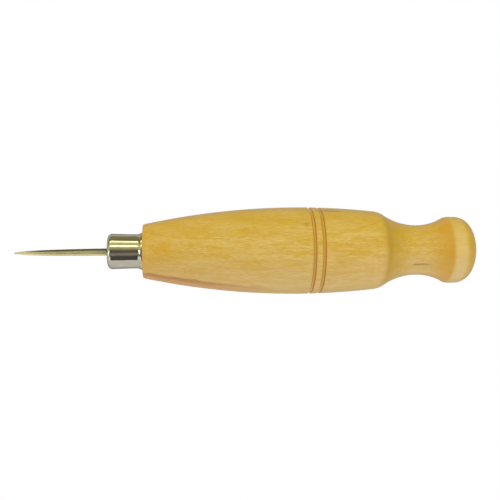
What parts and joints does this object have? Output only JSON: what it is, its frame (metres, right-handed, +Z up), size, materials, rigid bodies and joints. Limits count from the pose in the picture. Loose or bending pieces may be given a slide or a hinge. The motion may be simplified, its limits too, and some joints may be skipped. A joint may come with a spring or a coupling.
{
  "type": "bookbinding awl",
  "caption": "Palm awl with a round tapered needle, a nickel-plated ferrule and a turned hardwood handle with two turned lines, a waisted neck and a domed knob.",
  "frame": {"origin": "on the surface that the awl lies on, under the middle of its overall length", "axes": "+X along the awl's axis from the needle's tip to the knob, +Z up, +Y to the left of the direction of +X"},
  "size_m": [0.1524, 0.0284, 0.0285],
  "materials": {
    "handle_wood": "clear-lacquered pale hardwood, fine straight grain",
    "ferrule_nickel": "bright nickel plate",
    "blade_steel": "polished, with fine turning marks"
  },
  "bodies": {
    "root": {"handle": "handle_wood", "ferrule": "ferrule_nickel", "blade": "blade_steel"}
  },
  "joints": []
}
